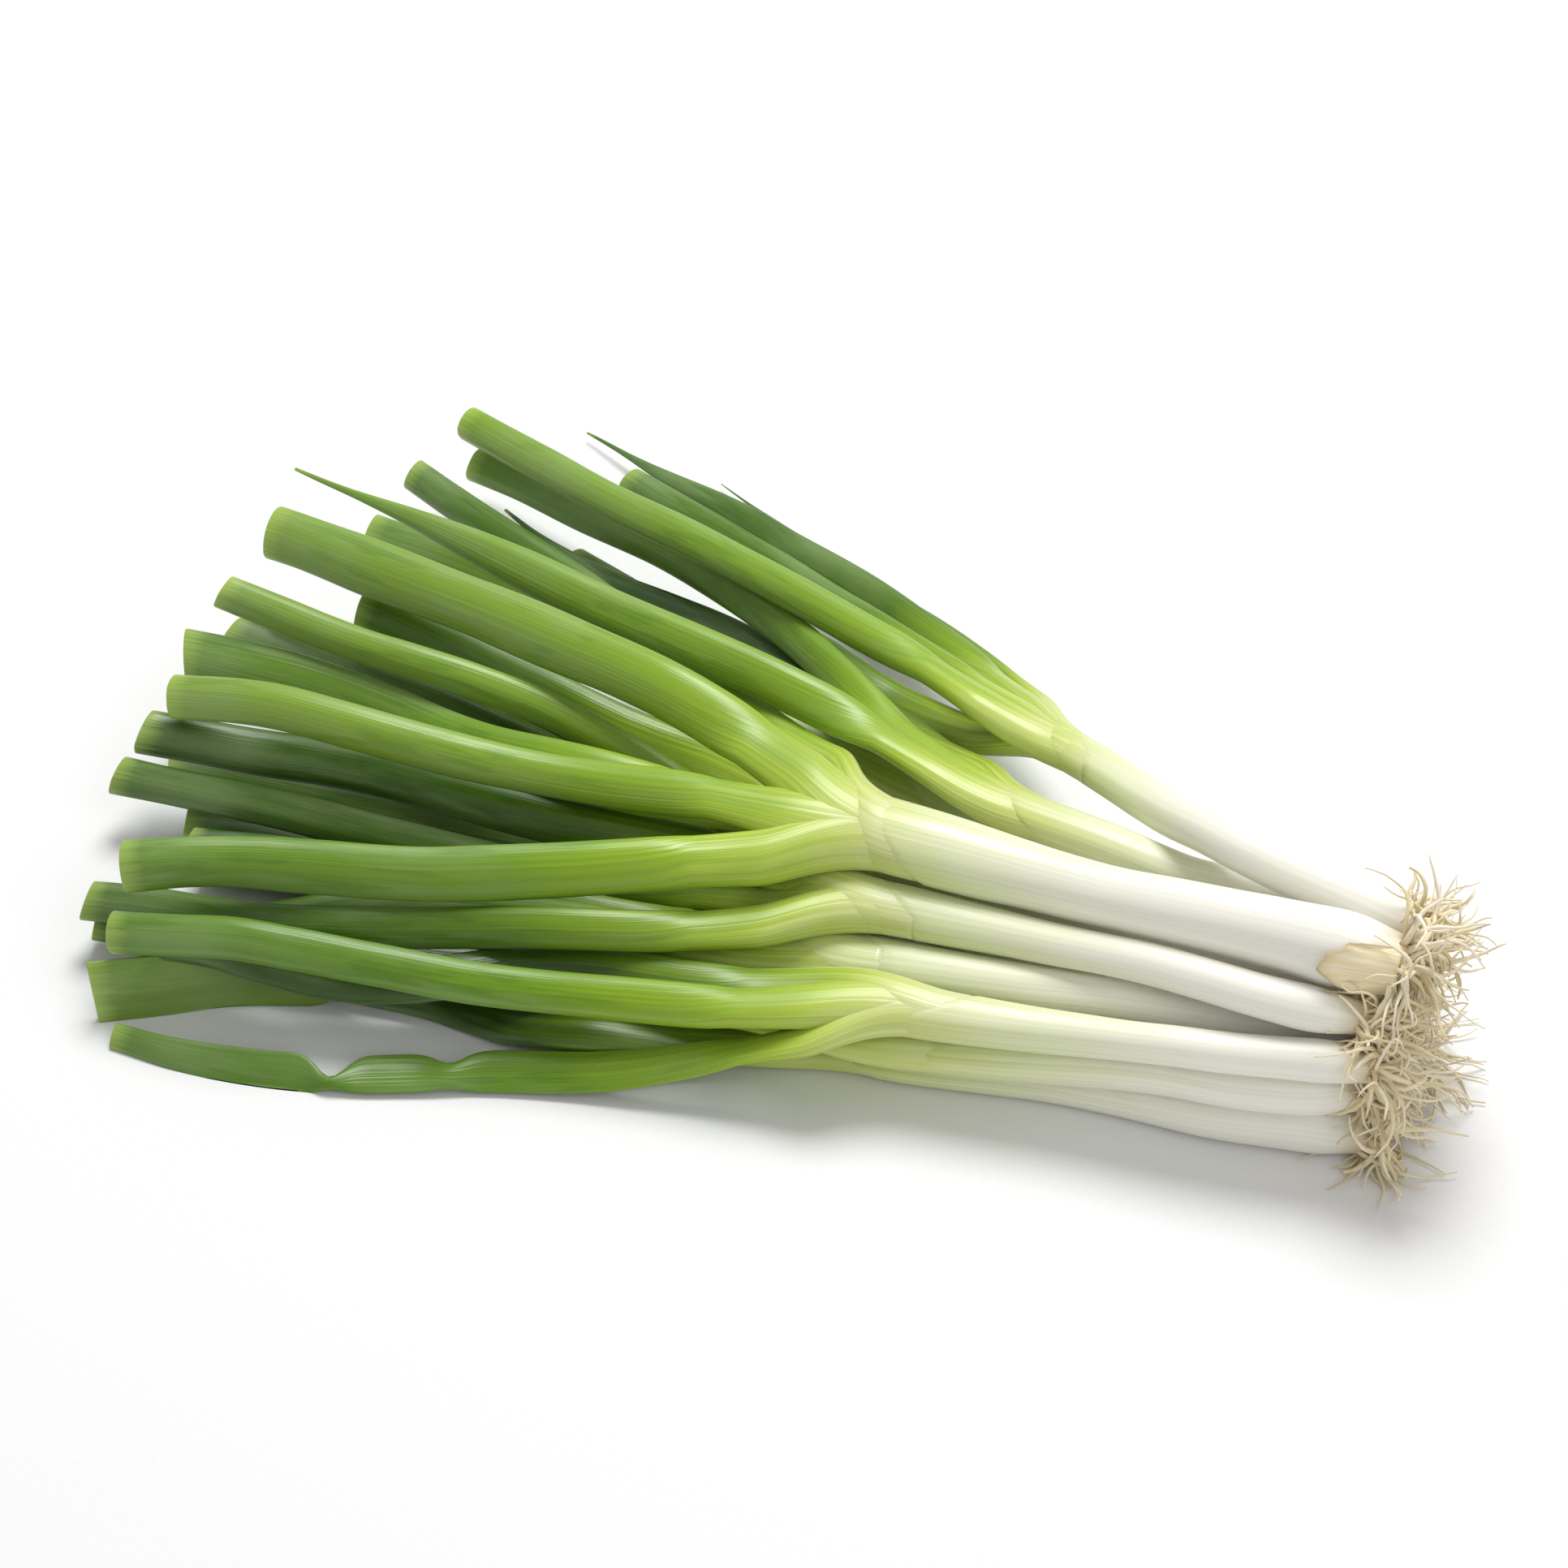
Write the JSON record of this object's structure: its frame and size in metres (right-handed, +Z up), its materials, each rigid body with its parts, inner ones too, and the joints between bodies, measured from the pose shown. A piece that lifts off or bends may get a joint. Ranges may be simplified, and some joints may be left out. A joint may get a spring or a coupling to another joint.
{
  "type": "bunch of spring onions",
  "caption": "Loose bunch of cut spring onions lying flat, white shanks with curly root tufts at one end and green hollow leaves fanning out at the other.",
  "frame": {"origin": "on the surface that the bunch lies on, under the middle of its box", "axes": "+X towards the roots, -X towards the cut leaf ends, +Y towards the side that the leaves fan out to, +Z up"},
  "size_m": [0.3072, 0.2612, 0.0565],
  "materials": {
    "shank": "satin, moist plant skin with fine lengthwise veins, white turning pale green",
    "leaf": "satin, waxy plant skin with fine lengthwise veins",
    "roots": "matt, dry fibres"
  },
  "bodies": {
    "root": {"onion_01_roots": "roots", "onion_01_shank": "shank", "onion_01_leaf_1": "leaf", "onion_01_leaf_2": "leaf", "onion_01_leaf_3": "leaf", "onion_01_leaf_4": "leaf", "onion_01_leaf_5": "leaf", "onion_02_roots": "roots", "onion_02_shank": "shank", "onion_02_leaf_1": "leaf", "onion_02_leaf_2": "leaf", "onion_02_leaf_3": "leaf", "onion_03_roots": "roots", "onion_03_shank": "shank", "onion_03_leaf_1": "leaf", "onion_03_leaf_2": "leaf", "onion_03_leaf_3": "leaf", "onion_03_leaf_4": "leaf", "onion_04_roots": "roots", "onion_04_shank": "shank", "onion_04_leaf_1": "leaf", "onion_04_leaf_2": "leaf", "onion_04_leaf_3": "leaf", "onion_05_roots": "roots", "onion_05_shank": "shank", "onion_05_leaf_1": "leaf", "onion_05_leaf_2": "leaf", "onion_06_roots": "roots", "onion_06_shank": "shank", "onion_06_leaf_1": "leaf", "onion_06_leaf_2": "leaf", "onion_06_leaf_3": "leaf", "onion_07_roots": "roots", "onion_07_shank": "shank", "onion_07_leaf_1": "leaf", "onion_07_leaf_2": "leaf", "onion_08_roots": "roots", "onion_08_shank": "shank", "onion_08_leaf_1": "leaf", "onion_08_leaf_2": "leaf", "onion_09_roots": "roots", "onion_09_shank": "shank", "onion_09_leaf_1": "leaf", "onion_09_leaf_2": "leaf", "onion_09_leaf_3": "leaf", "onion_10_roots": "roots", "onion_10_shank": "shank", "onion_10_leaf_1": "leaf", "onion_10_leaf_2": "leaf", "onion_10_leaf_3": "leaf", "onion_11_roots": "roots", "onion_11_shank": "shank", "onion_11_leaf_1": "leaf", "onion_11_leaf_2": "leaf", "onion_12_roots": "roots", "onion_12_shank": "shank", "onion_12_leaf_1": "leaf", "onion_12_leaf_2": "leaf"}
  },
  "joints": []
}
